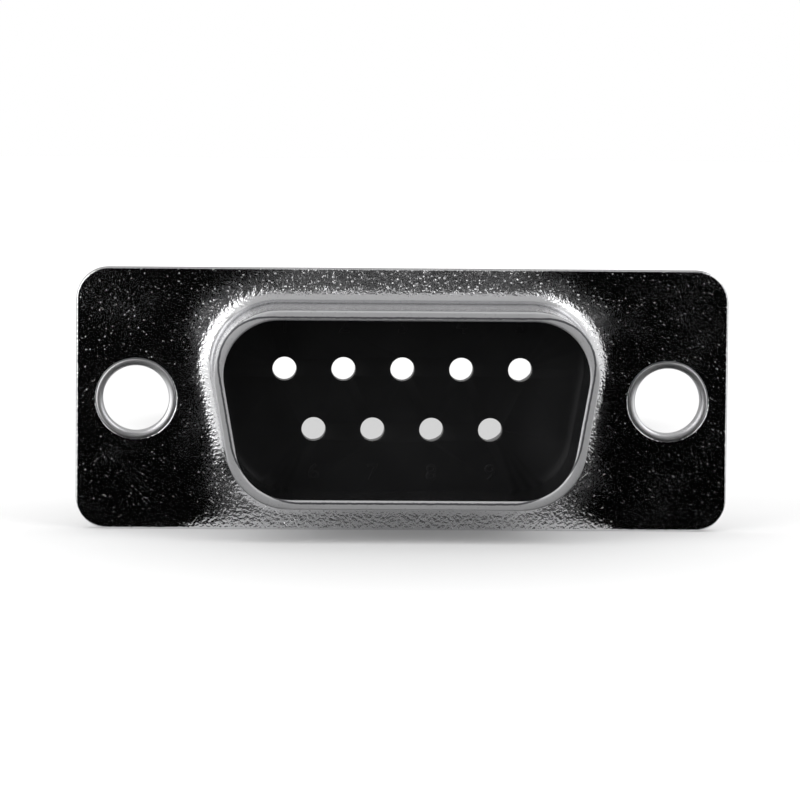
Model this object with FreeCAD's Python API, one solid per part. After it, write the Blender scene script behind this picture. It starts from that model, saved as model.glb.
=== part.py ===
import FreeCAD, Part
import math
import os

# D-shaped plug connector with empty cavities for crimp contacts, in millimetres.
# The mating side faces -Y and the wide side of the D is up, +Z, so +X is to the right seen from the mating side.
# The origin is midway between the two mounting holes, on the front face of the front flange.

# Contact layout, which drives the size of the D
CONTACTS_PER_ROW = (5, 4)  # the wide row above, the narrow row below
CONTACT_PITCH = 2.77
ROW_SPACING = 2.84
D_SIDE_MARGIN = 2.92  # from the wide row's last contact to the tube's inner wall
D_EDGE_MARGIN = 2.76  # from a row to the tube's inner wall above or below it
D_SIDE_ANGLE = 10  # degrees, of each side from the upright
D_CORNER_RADIUS = 2.6

# Drawn sheet of both shells
SHEET = 0.4
TUBE_PROJECTION = 5.9
TUBE_ROOT_RADIUS = 0.8  # outside the bend; the sheet's thickness comes on top inside it
SHEET_EDGE_ROUND = 0.08

# Flanges
HOLE_MARGIN = 4.035  # from the tube's inner wall to a mounting hole's axis
EAR_REACH = 2.805  # from a mounting hole's axis to the flange's end
FLANGE_MARGIN = 1.97  # from the tube's inner wall to the flange's long edge
FLANGE_CORNER_RADIUS = 1.5

# Cup of the rear shell, which follows the D of the tube
CUP_MARGIN = 1.18  # from the tube's inner wall to the cup's outer wall
CUP_DEPTH = 3.4  # behind the rear flange
CUP_ROOT_RADIUS = 0.3
CUP_CORNER_RADIUS = 0.1  # inside, between the wall and the lip
CUP_LIP = 0.8  # width of the turned-in lip that holds the insulators

# Tubular rivets through the mounting holes
EYELET_BORE_RADIUS = 1.55
EYELET_WALL = 0.2
EYELET_HEAD_OVERHANG = 0.45  # the flat head beyond the barrel
EYELET_LIP_OVERHANG = 0.11  # the rolled lip beyond the barrel
EYELET_LIP_RISE = 0.08  # the rolled lip in front of the flange
EYELET_FLARE_DEPTH = 0.25
EYELET_BORE_START = 0.1  # the lip has rolled away from the bore in front of this depth

# Insulators
FACE_SETBACK = 0.2  # from the flange's front face back to the front insulator's face
FRONT_COLLAR_DEPTH = 1.6
REAR_BOSS_RISE = 0.8  # behind the cup
INSULATOR_EDGE_ROUND = 0.15

# Contact cavities
CONTACT_HOLE_RADIUS = 0.565
CONTACT_HOLE_DEPTH = 1.1
SHOULDER_RADIUS = 0.74
CLIP_POCKET_RADIUS = 1.21
CLIP_POCKET_DEPTH = 1.5
CLIP_SHELF = 0.31  # step behind the clip, from its pocket in to the cavity's entry
CAVITY_LEAD_IN = 0.15

# Sprung retention clips
CLIP_WALL = 0.12
CLIP_SLOT = 0.5
TINE_WIDTH = 0.6
TINE_WINDOW_GAP = 0.06
TINE_FRONT = 0.34  # from the clip's front end to the tips of its tines
TINE_REACH = 0.3  # how far a tine's tip stands in from the clip's inner wall
TINE_ROOT = 0.25  # from the clip's rear end to the root of its tines

# Clearances
ASSEMBLY_GAP = 0.05
EYELET_GAP = 0.02
CLIP_GAP = 0.03

# Planes across the connector, from front to back
RIM_Y = -TUBE_PROJECTION
FRONT_Y = 0.0
FACE_Y = FACE_SETBACK
JOINT_Y = SHEET  # where the two flanges meet
FLANGE_BACK_Y = 2 * SHEET
INSULATOR_JOINT_Y = JOINT_Y + FRONT_COLLAR_DEPTH
CUP_BACK_Y = FLANGE_BACK_Y + CUP_DEPTH
LIP_Y = CUP_BACK_Y - SHEET
REAR_FACE_Y = CUP_BACK_Y + REAR_BOSS_RISE

FRONT_TO_BACK = FreeCAD.Vector(0, 1, 0)
UP, RIGHT, DOWN, LEFT = 90, 0, -90, -180  # degrees, seen from the mating side
FULL_TURN = 360
TOUCHING = 1e-6  # nearer than this is the same place


class DOutline:
    """The D as seen from the mating side: a wide top, sides that slope in, and four rounded corners."""

    def __init__(self, width, height, radius):
        self.width = width
        self.height = height
        self.radius = radius

    def offset(self, distance):
        """The same D moved outwards by a distance, or inwards by a negative one."""
        return DOutline(self.width + 2 * distance, self.height + 2 * distance, self.radius + distance)

    def corners(self):
        """The centres of the corner arcs on the right: the upper one, then the lower one."""
        upper_x = self.width / 2 - self.radius
        reach_z = self.height / 2 - self.radius
        lower_x = upper_x - 2 * reach_z * math.tan(math.radians(D_SIDE_ANGLE))
        return (upper_x, reach_z), (lower_x, -reach_z)

    def holds(self, point):
        """Is a point within this outline's width and height, or on its edge?"""
        return abs(point.x) < self.width / 2 + TOUCHING and abs(point.z) < self.height / 2 + TOUCHING

    def prism(self, start_y, end_y):
        """A solid of this outline between two planes."""
        upper, lower = self.corners()
        right = [(upper, UP, -D_SIDE_ANGLE), (lower, -D_SIDE_ANGLE, DOWN)]
        left_side = LEFT + D_SIDE_ANGLE
        left = [((-lower[0], lower[1]), DOWN, left_side), ((-upper[0], upper[1]), left_side, UP - FULL_TURN)]
        return rounded_prism(right + left, self.radius, start_y, end_y)


def point_on_arc(centre, radius, degrees, y):
    """A point of a corner arc, in the plane at y."""
    angle = math.radians(degrees)
    return FreeCAD.Vector(centre[0] + radius * math.cos(angle), y, centre[1] + radius * math.sin(angle))


def rounded_prism(corners, radius, start_y, end_y):
    """A solid between two planes whose outline runs through corner arcs of (centre, first angle, last angle)."""
    arcs = []
    for centre, first, last in corners:
        arcs.append([point_on_arc(centre, radius, angle, start_y) for angle in (first, (first + last) / 2, last)])
    edges = []
    for arc, following in zip(arcs, arcs[1:] + arcs[:1]):
        edges.append(Part.Arc(*arc).toShape())
        edges.append(Part.makeLine(arc[-1], following[0]))
    return Part.Face(Part.Wire(edges)).extrude(FRONT_TO_BACK * (end_y - start_y))


def edges_at(shape, y, accept):
    """The edges of a shape that lie wholly in the plane at y and whose middle is accepted."""
    found = []
    for edge in shape.Edges:
        box = edge.BoundBox
        if abs(box.YMin - y) < TOUCHING and abs(box.YMax - y) < TOUCHING and accept(box.Center):
            found.append(edge)
    return found


def cylinder(radius, centre, start_y, end_y):
    """A cylinder along Y through centre, given as (x, z)."""
    base = FreeCAD.Vector(centre[0], start_y, centre[1])
    return Part.makeCylinder(radius, end_y - start_y, base, FRONT_TO_BACK)


def cone(start_radius, end_radius, centre, start_y, end_y):
    """A cone along Y through centre, given as (x, z)."""
    base = FreeCAD.Vector(centre[0], start_y, centre[1])
    return Part.makeCone(start_radius, end_radius, end_y - start_y, base, FRONT_TO_BACK)


def in_plane(shape, y):
    """Every edge of a shape that lies wholly in the plane at y."""
    return edges_at(shape, y, lambda point: True)


TUBE_INNER = DOutline(
    (max(CONTACTS_PER_ROW) - 1) * CONTACT_PITCH + 2 * D_SIDE_MARGIN,
    ROW_SPACING + 2 * D_EDGE_MARGIN,
    D_CORNER_RADIUS,
)
TUBE_OUTER = TUBE_INNER.offset(SHEET)
CUP_OUTER = TUBE_INNER.offset(CUP_MARGIN)
CUP_INNER = CUP_OUTER.offset(-SHEET)
COLLAR = CUP_INNER.offset(-ASSEMBLY_GAP)
LIP_OPENING = CUP_INNER.offset(-CUP_LIP)

HOLE_X = TUBE_INNER.width / 2 + HOLE_MARGIN
EYELET_BARREL_RADIUS = EYELET_BORE_RADIUS + EYELET_WALL
EYELET_LIP_RADIUS = EYELET_BARREL_RADIUS + EYELET_LIP_OVERHANG


def contact_centres():
    """The (x, z) of each contact in numbered order: the wide row from left to right, then the narrow row."""
    centres = []
    for count, z in zip(CONTACTS_PER_ROW, (ROW_SPACING / 2, -ROW_SPACING / 2)):
        for place in range(count):
            centres.append(((place - (count - 1) / 2) * CONTACT_PITCH, z))
    return centres


def flange(start_y, rounded_y):
    """One flange sheet with round corners and no holes yet, its border rounded over in the plane at rounded_y."""
    x = HOLE_X + EAR_REACH - FLANGE_CORNER_RADIUS
    z = TUBE_INNER.height / 2 + FLANGE_MARGIN - FLANGE_CORNER_RADIUS
    corners = [((x, z), UP, RIGHT), ((x, -z), RIGHT, DOWN), ((-x, -z), DOWN, LEFT), ((-x, z), LEFT, UP - FULL_TURN)]
    sheet = rounded_prism(corners, FLANGE_CORNER_RADIUS, start_y, start_y + SHEET)
    return sheet.makeFillet(SHEET_EDGE_ROUND, in_plane(sheet, rounded_y))


def hole_centres():
    """The (x, z) of the left and right mounting holes."""
    return (-HOLE_X, 0), (HOLE_X, 0)


def front_shell():
    """The front flange with the D-shaped tube drawn forwards from it."""
    shape = flange(FRONT_Y, FRONT_Y).fuse(TUBE_OUTER.prism(RIM_Y, JOINT_Y)).removeSplitter()
    shape = shape.makeFillet(TUBE_ROOT_RADIUS, edges_at(shape, FRONT_Y, TUBE_OUTER.holds))
    shape = shape.cut(TUBE_INNER.prism(RIM_Y - SHEET, JOINT_Y + SHEET))
    shape = shape.makeFillet(TUBE_ROOT_RADIUS + SHEET, edges_at(shape, JOINT_Y, TUBE_INNER.holds))
    shape = shape.makeFillet(SHEET_EDGE_ROUND, in_plane(shape, RIM_Y))
    for centre in hole_centres():
        shape = shape.cut(cylinder(EYELET_BARREL_RADIUS + EYELET_GAP, centre, FRONT_Y - SHEET, JOINT_Y + SHEET))
        flare = cone(
            EYELET_LIP_RADIUS + EYELET_GAP,
            EYELET_BARREL_RADIUS + EYELET_GAP,
            centre,
            FRONT_Y,
            FRONT_Y + EYELET_FLARE_DEPTH,
        )
        shape = shape.cut(flare)
    return shape


def rear_shell():
    """The rear flange with a shallow cup drawn backwards from it, whose lip holds the insulators."""
    shape = flange(JOINT_Y, FLANGE_BACK_Y).fuse(CUP_OUTER.prism(JOINT_Y, CUP_BACK_Y)).removeSplitter()
    shape = shape.makeFillet(CUP_ROOT_RADIUS, edges_at(shape, FLANGE_BACK_Y, CUP_OUTER.holds))
    shape = shape.makeFillet(CUP_CORNER_RADIUS + SHEET, in_plane(shape, CUP_BACK_Y))
    hollow = CUP_INNER.prism(JOINT_Y - SHEET, LIP_Y)
    shape = shape.cut(hollow.makeFillet(CUP_CORNER_RADIUS, in_plane(hollow, LIP_Y)))
    shape = shape.makeFillet(CUP_ROOT_RADIUS + SHEET, edges_at(shape, JOINT_Y, CUP_INNER.holds))
    shape = shape.cut(LIP_OPENING.prism(LIP_Y - SHEET, CUP_BACK_Y + SHEET))
    for centre in hole_centres():
        shape = shape.cut(cylinder(EYELET_BARREL_RADIUS + EYELET_GAP, centre, FRONT_Y, FLANGE_BACK_Y + SHEET))
    return shape


def round_tube_bend(gap):
    """The material round the hollow of the tube's bend, grown into the hollow by a gap."""
    bend_radius = TUBE_ROOT_RADIUS + SHEET + gap
    hollow = TUBE_INNER.offset(-gap)
    back_y = JOINT_Y + gap
    block = COLLAR.offset(bend_radius).prism(back_y - 2 * bend_radius, back_y)
    block = block.cut(hollow.prism(back_y - 3 * bend_radius, back_y + bend_radius))
    return block.makeFillet(bend_radius, edges_at(block, back_y, hollow.holds))


def front_insulator():
    """The nose that fills the root of the D tube and seats in its bend, with a collar and stepped holes."""
    shape = COLLAR.prism(FACE_Y, INSULATOR_JOINT_Y).cut(round_tube_bend(ASSEMBLY_GAP))
    for x, z in contact_centres():
        shape = shape.cut(cylinder(CONTACT_HOLE_RADIUS, (x, z), FACE_Y, FACE_Y + CONTACT_HOLE_DEPTH))
        shape = shape.cut(cylinder(SHOULDER_RADIUS, (x, z), FACE_Y + CONTACT_HOLE_DEPTH, INSULATOR_JOINT_Y))
    return shape


def rear_insulator():
    """The collar held in the cup and the boss that fills its opening, with a clip pocket and entry per cavity."""
    boss = LIP_OPENING.offset(-ASSEMBLY_GAP).prism(LIP_Y, REAR_FACE_Y)
    boss = boss.makeFillet(INSULATOR_EDGE_ROUND, in_plane(boss, REAR_FACE_Y))
    collar = COLLAR.prism(INSULATOR_JOINT_Y, LIP_Y)
    collar = collar.makeFillet(INSULATOR_EDGE_ROUND, in_plane(collar, LIP_Y))
    shape = collar.fuse(boss).removeSplitter()
    pocket_end = INSULATOR_JOINT_Y + CLIP_POCKET_DEPTH
    entry_radius = CLIP_POCKET_RADIUS - CLIP_SHELF
    for centre in contact_centres():
        shape = shape.cut(cylinder(CLIP_POCKET_RADIUS, centre, INSULATOR_JOINT_Y, pocket_end))
        shape = shape.cut(cylinder(entry_radius, centre, pocket_end, REAR_FACE_Y))
        lead_in = cone(
            entry_radius,
            entry_radius + CAVITY_LEAD_IN,
            centre,
            REAR_FACE_Y - CAVITY_LEAD_IN,
            REAR_FACE_Y,
        )
        shape = shape.cut(lead_in)
    return shape


def eyelet(centre):
    """A tubular rivet: a flat head behind the rear flange, a barrel, and a lip rolled into the front flange."""
    bore, barrel, lip = EYELET_BORE_RADIUS, EYELET_BARREL_RADIUS, EYELET_LIP_RADIUS
    head = barrel + EYELET_HEAD_OVERHANG
    head_y = FLANGE_BACK_Y + EYELET_WALL
    crown = (bore + lip) / 2
    diagonal = EYELET_WALL * (1 - math.sqrt(0.5))

    def at(radius, y):
        return FreeCAD.Vector(centre[0] + radius, y, centre[1])

    outline = [
        Part.Arc(at(bore, EYELET_BORE_START), at(crown, -EYELET_LIP_RISE), at(lip, FRONT_Y)).toShape(),
        Part.makeLine(at(lip, FRONT_Y), at(barrel, EYELET_FLARE_DEPTH)),
        Part.makeLine(at(barrel, EYELET_FLARE_DEPTH), at(barrel, FLANGE_BACK_Y)),
        Part.makeLine(at(barrel, FLANGE_BACK_Y), at(head, FLANGE_BACK_Y)),
        Part.makeLine(at(head, FLANGE_BACK_Y), at(head, head_y)),
        Part.makeLine(at(head, head_y), at(barrel, head_y)),
        Part.Arc(
            at(barrel, head_y),
            at(bore + diagonal, head_y - diagonal),
            at(bore, FLANGE_BACK_Y),
        ).toShape(),
        Part.makeLine(at(bore, FLANGE_BACK_Y), at(bore, EYELET_BORE_START)),
    ]
    face = Part.Face(Part.Wire(outline))
    return face.revolve(at(0, 0), FRONT_TO_BACK, FULL_TURN)


def contact_clip(centre):
    """A slotted sleeve with two tines that lean in and forwards, behind which a contact's shoulder locks."""
    start_y = INSULATOR_JOINT_Y + CLIP_GAP
    end_y = INSULATOR_JOINT_Y + CLIP_POCKET_DEPTH - CLIP_GAP
    outer = CLIP_POCKET_RADIUS - CLIP_GAP
    inner = outer - CLIP_WALL
    x, z = centre
    shape = cylinder(outer, centre, start_y, end_y).cut(cylinder(inner, centre, start_y, end_y))
    slot_corner = FreeCAD.Vector(x - CLIP_SLOT / 2, start_y, z - outer)
    shape = shape.cut(Part.makeBox(CLIP_SLOT, end_y - start_y, outer, slot_corner))
    root_y = end_y - TINE_ROOT
    tip_y = start_y + TINE_FRONT
    half_window = TINE_WIDTH / 2 + TINE_WINDOW_GAP
    window_corner = FreeCAD.Vector(x - outer, tip_y - TINE_WINDOW_GAP, z - half_window)
    window = Part.makeBox(2 * outer, root_y - tip_y + TINE_WINDOW_GAP, 2 * half_window, window_corner)
    shape = shape.cut(window)
    sleeve_at_tine = math.sqrt(inner**2 - (TINE_WIDTH / 2) ** 2)
    for side in (-1, 1):
        profile = [
            (sleeve_at_tine, root_y + CLIP_WALL),
            (sleeve_at_tine + CLIP_WALL, root_y + CLIP_WALL),
            (sleeve_at_tine + CLIP_WALL, root_y),
            (inner - TINE_REACH + CLIP_WALL, tip_y),
            (inner - TINE_REACH, tip_y),
            (sleeve_at_tine, root_y),
        ]
        corners = [FreeCAD.Vector(x + side * r, y, z - TINE_WIDTH / 2) for r, y in profile]
        face = Part.Face(Part.makePolygon(corners + corners[:1]))
        shape = shape.fuse(face.extrude(FreeCAD.Vector(0, 0, TINE_WIDTH)))
    return shape.removeSplitter()


def pieces():
    """Every piece by its name."""
    left, right = hole_centres()
    named = {
        "front_shell": front_shell(),
        "rear_shell": rear_shell(),
        "front_insulator": front_insulator(),
        "rear_insulator": rear_insulator(),
        "left_eyelet": eyelet(left),
        "right_eyelet": eyelet(right),
    }
    for number, centre in enumerate(contact_centres(), start=1):
        named[f"contact_clip_{number}"] = contact_clip(centre)
    return named


os.makedirs("parts", exist_ok=True)
for name, shape in pieces().items():
    print(name, "solids", len(shape.Solids), "valid", shape.isValid(), "volume", round(shape.Volume, 3))
    shape.Solids[0].exportStep(os.path.join("parts", f"{name}.step"))
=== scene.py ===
"""The look of a nine-way D-shaped plug connector with empty contact cavities.

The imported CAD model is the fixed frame. The drawn shells, the rivets and the
moulded insulators are rebuilt here with finer edges at the CAD's own sizes and
replace their CAD nodes. The sprung contact clips are the CAD's own nodes with
a metal finish. Lengths are millimetres in the classes of pieces, whose finished
mesh is scaled to metres as its last step. In the finishes and the studio they
are metres, unless a comment says mm.
"""

import logging
import math
from collections.abc import Callable, Sequence
from dataclasses import dataclass, field
from enum import Enum
from typing import Any

import bmesh
import bpy
from mathutils import Matrix, Vector

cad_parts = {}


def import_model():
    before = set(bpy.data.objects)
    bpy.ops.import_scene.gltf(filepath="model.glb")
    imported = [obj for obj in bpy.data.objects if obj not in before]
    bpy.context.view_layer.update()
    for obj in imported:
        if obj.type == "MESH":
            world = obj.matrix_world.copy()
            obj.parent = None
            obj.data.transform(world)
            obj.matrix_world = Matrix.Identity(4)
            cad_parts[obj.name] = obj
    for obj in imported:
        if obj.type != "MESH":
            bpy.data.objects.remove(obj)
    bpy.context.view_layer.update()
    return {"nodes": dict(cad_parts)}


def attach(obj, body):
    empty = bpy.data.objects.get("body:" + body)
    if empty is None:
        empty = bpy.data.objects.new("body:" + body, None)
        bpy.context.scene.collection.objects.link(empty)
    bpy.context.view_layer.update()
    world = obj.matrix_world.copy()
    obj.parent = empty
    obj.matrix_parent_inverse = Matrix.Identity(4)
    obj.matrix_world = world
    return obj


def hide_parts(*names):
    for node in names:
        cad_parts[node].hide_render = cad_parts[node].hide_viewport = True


LOG = logging.getLogger("connector")
BODY = "root"
METRES_PER_MM = 0.001
MM_PER_METRE = 1000.0
SHARP_ANGLE = math.radians(32)
WELD_DISTANCE = 1e-5  # mm
FULL_TURN = 2 * math.pi
FACING_FRONT = Matrix.Rotation(math.pi / 2, 4, "X")  # turns what lies in XY to face -Y
FLOAT, VECTOR = "NodeSocketFloat", "NodeSocketVector"

Edges = list[bmesh.types.BMEdge]
SectionPoint = tuple[float, float]
Span = tuple[float, float]
Point = tuple[float, float, float]
Colour = tuple[float, float, float, float]
Socket = bpy.types.NodeSocket
Sockets = bpy.types.bpy_prop_collection  # a node's sockets, by name or place
SocketValue = Any

WHITE: Colour = (1.0, 1.0, 1.0, 1.0)
# the colour of the floor's painted shadows
PAINTED_SHADOW_BLACK: Colour = (0.0, 0.0, 0.0, 1.0)


class Slot(Enum):
    """The record's material slot names for the pieces that are built here; nothing in this script
    assigns them.
    """

    SHELL = "plated_shell"
    INSULATOR = "insulator"
    EYELET = "eyelet"


class Side(Enum):
    """The two ears of the flange, by the sign of their place along X."""

    LEFT = -1
    RIGHT = 1


@dataclass(frozen=True)
class CornerArc:
    """A rounded corner of an outline: its centre, and its first and last directions in degrees."""

    x: float
    z: float
    first: float
    last: float

    def start(self, radius: float, y: float) -> Vector:
        """The first point of the arc at a radius, in the plane at y."""
        angle = math.radians(self.first)
        return Vector((self.x + radius * math.cos(angle), y, self.z + radius * math.sin(angle)))


@dataclass(frozen=True)
class DOutline:
    """The D seen from the mating side, with the wide side up."""

    width: float = 16.92
    height: float = 8.36
    radius: float = 2.6
    side_angle: float = 10.0

    def corners(self) -> list[CornerArc]:
        """The four corner arcs, clockwise from the upper right one.

        Returns:
            Arcs whose ends face each other across the straight sides.
        """
        upper_x = self.width / 2 - self.radius
        reach_z = self.height / 2 - self.radius
        lower_x = upper_x - 2 * reach_z * math.tan(math.radians(self.side_angle))
        lean = self.side_angle
        return [
            CornerArc(upper_x, reach_z, 90, -lean),
            CornerArc(lower_x, -reach_z, -lean, -90),
            CornerArc(-lower_x, -reach_z, -90, lean - 180),
            CornerArc(-upper_x, reach_z, lean - 180, -270),
        ]


@dataclass(frozen=True)
class RoundedRectangle:
    """The outline of a flange, centred on the origin."""

    half_width: float = 15.3
    half_height: float = 6.15
    radius: float = 1.5

    def corners(self) -> list[CornerArc]:
        """The four corner arcs, clockwise from the upper right one."""
        x, z = self.half_width - self.radius, self.half_height - self.radius
        return [
            CornerArc(x, z, 90, 0),
            CornerArc(x, -z, 0, -90),
            CornerArc(-x, -z, -90, -180),
            CornerArc(-x, z, -180, -270),
        ]


def section_arc(
    centre: SectionPoint, radius: float, first: float, last: float, steps: int
) -> list[SectionPoint]:
    """Points of an arc in a sheet's section.

    Args:
        centre: The arc's centre, as a distance outwards and a depth.
        radius: The arc's radius.
        first: Direction of the first point in degrees, from outwards towards the back.
        last: Direction of the last point.
        steps: How many pieces the arc has.

    Returns:
        The points from first to last, both included.
    """
    points = []
    for step in range(steps + 1):
        angle = math.radians(first + (last - first) * step / steps)
        points.append((centre[0] + radius * math.cos(angle), centre[1] + radius * math.sin(angle)))
    return points


def new_object(name: str, data: bpy.types.ID) -> bpy.types.Object:
    """A new object in the scene."""
    thing = bpy.data.objects.new(name, data)
    bpy.context.scene.collection.objects.link(thing)
    return thing


def mesh_object(name: str, bm: bmesh.types.BMesh) -> bpy.types.Object:
    """A new object with a finished mesh, which is freed."""
    mesh = bpy.data.meshes.new(name)
    bm.to_mesh(mesh)
    bm.free()
    return new_object(name, mesh)


class PieceMesh:
    """A mesh under construction in millimetres, made of loops, walls between them and caps."""

    def __init__(self) -> None:
        """Start an empty mesh."""
        self.bm = bmesh.new()

    def new_edges(self, known: set[bmesh.types.BMEdge]) -> Edges:
        """The edges that aren't among the known ones."""
        return [edge for edge in self.bm.edges if edge not in known]

    def outline(self, corners: Sequence[CornerArc], radius: float, y: float, steps: int) -> Edges:
        """Draw a closed outline by spinning a vertex about each corner.

        Args:
            corners: The corner arcs in order.
            radius: The radius of every corner.
            y: The plane of the outline.
            steps: Edges in each corner.

        Returns:
            The edges of the closed loop.
        """
        known = set(self.bm.edges)
        ends = []
        for corner in corners:
            first = self.bm.verts.new(corner.start(radius, y))
            spun = bmesh.ops.spin(
                self.bm,
                geom=[first],
                cent=(corner.x, y, corner.z),
                axis=(0, 1, 0),
                angle=math.radians(corner.first - corner.last),
                steps=steps,
            )
            last = [item for item in spun["geom_last"] if isinstance(item, bmesh.types.BMVert)][0]
            ends.append((first, last))
        for (_, last), (first, _) in zip(ends, ends[1:] + ends[:1]):
            bmesh.ops.contextual_create(self.bm, geom=[last, first])
        return self.new_edges(known)

    def ring(self, centre: SectionPoint, radius: float, y: float, segments: int) -> Edges:
        """A circle about a (x, z) centre in the plane at y."""
        known = set(self.bm.edges)
        place = Matrix.Translation((centre[0], y, centre[1])) @ FACING_FRONT
        bmesh.ops.create_circle(self.bm, segments=segments, radius=radius, matrix=place)
        return self.new_edges(known)

    def carried(
        self,
        loop: Edges,
        centres: Sequence[SectionPoint],
        corner_radius: float,
        section: Sequence[SectionPoint],
    ) -> list[Edges]:
        """Extrude a loop from each point of a section to the next.

        Args:
            loop: The closed loop at the section's first point.
            centres: The (x, z) centres of the loop's arcs, which stay where they are.
            corner_radius: The arcs' radius where the section's distance is nought.
            section: Points as a distance outwards and a depth.

        Returns:
            One loop for each point of the section.
        """
        loops = [loop]
        for out, y in section[1:]:
            made = bmesh.ops.extrude_edge_only(self.bm, edges=loops[-1])["geom"]
            fresh = {item for item in made if isinstance(item, bmesh.types.BMVert)}
            for vert in fresh:
                centre = min(centres, key=lambda c: math.hypot(vert.co.x - c[0], vert.co.z - c[1]))
                away = Vector((vert.co.x - centre[0], 0.0, vert.co.z - centre[1])).normalized()
                vert.co = Vector((centre[0], y, centre[1])) + away * (corner_radius + out)
            edges = [item for item in made if isinstance(item, bmesh.types.BMEdge)]
            loops.append([edge for edge in edges if set(edge.verts) <= fresh])
        return loops

    def capped(self, walls: Sequence[Sequence[Edges]]) -> None:
        """Fill the flat area where the walls start, and the one where they end."""
        for end in (0, -1):
            edges = [edge for wall in walls for edge in wall[end]]
            bmesh.ops.triangle_fill(self.bm, use_beauty=True, edges=edges, normal=(0, -1, 0))

    def swept(
        self,
        corners: Sequence[CornerArc],
        corner_radius: float,
        section: Sequence[SectionPoint],
        steps: int,
    ) -> list[Edges]:
        """Sweep a section round an outline.

        Args:
            corners: The outline's corner arcs.
            corner_radius: The corner radius where the section's distance is nought.
            section: Points as a distance outwards from the outline and a depth.
            steps: Edges in each corner.

        Returns:
            One loop for each point of the section.
        """
        out, y = section[0]
        loop = self.outline(corners, corner_radius + out, y, steps)
        centres = [(corner.x, corner.z) for corner in corners]
        return self.carried(loop, centres, corner_radius, section)

    def bored(
        self, centre: SectionPoint, section: Sequence[SectionPoint], segments: int
    ) -> list[Edges]:
        """Sweep a section of (radius, depth) points round a hole's axis."""
        radius, y = section[0]
        return self.carried(self.ring(centre, radius, y, segments), [centre], 0.0, section)

    def finished(self, name: str) -> bpy.types.Object:
        """Close the mesh, scale it to metres and put it in the scene.

        Args:
            name: The piece's name.

        Returns:
            The new object, smooth shaded with its sharp edges marked.
        """
        bm = self.bm
        bmesh.ops.remove_doubles(bm, verts=bm.verts, dist=WELD_DISTANCE)
        bmesh.ops.recalc_face_normals(bm, faces=bm.faces)
        for edge in bm.edges:
            edge.smooth = edge.calc_face_angle(0.0) < SHARP_ANGLE
        for face in bm.faces:
            face.smooth = True
        open_edges = sum(not edge.is_manifold for edge in bm.edges)
        bmesh.ops.scale(bm, verts=bm.verts, vec=(METRES_PER_MM,) * 3)
        piece = mesh_object(name, bm)
        shading = piece.modifiers.new("flat faces stay flat", "WEIGHTED_NORMAL")
        shading.keep_sharp = True
        LOG.info("%s: %d faces, %d open edges", name, len(piece.data.polygons), open_edges)
        return piece


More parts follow.
